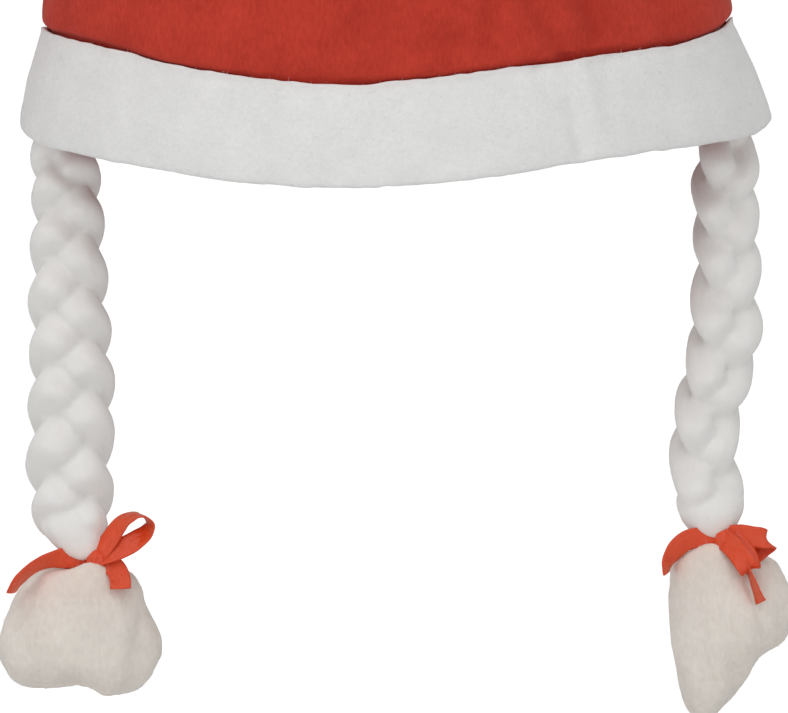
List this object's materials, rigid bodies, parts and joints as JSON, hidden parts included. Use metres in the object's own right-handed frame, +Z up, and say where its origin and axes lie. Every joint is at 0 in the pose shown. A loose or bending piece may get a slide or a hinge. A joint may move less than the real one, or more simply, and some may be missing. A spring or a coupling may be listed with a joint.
{
  "type": "santa hat with plaits",
  "caption": "Soft red felt hat with a white band, a drooping tail with a pompom, and a white plait hanging at each side with a red ribbon bow above a loose tuft.",
  "frame": {"origin": "middle of the head opening, level with the lowest point of the band's lower edge", "axes": "+Z up, +X the viewer's right, -Y towards the viewer"},
  "size_m": [0.3577, 0.144, 0.4064],
  "materials": {
    "red_felt": "matt felt",
    "white_felt": "soft white felt",
    "plait_fibre": "soft white roving",
    "red_satin": "satin ribbon"
  },
  "bodies": {
    "root": {"crown": "red_felt", "brim_band": "white_felt", "braid_left": "plait_fibre", "braid_right": "plait_fibre", "tuft_left": "plait_fibre", "tuft_right": "plait_fibre", "ribbon_left": "red_satin", "ribbon_right": "red_satin", "pompom": "white_felt"}
  },
  "joints": []
}
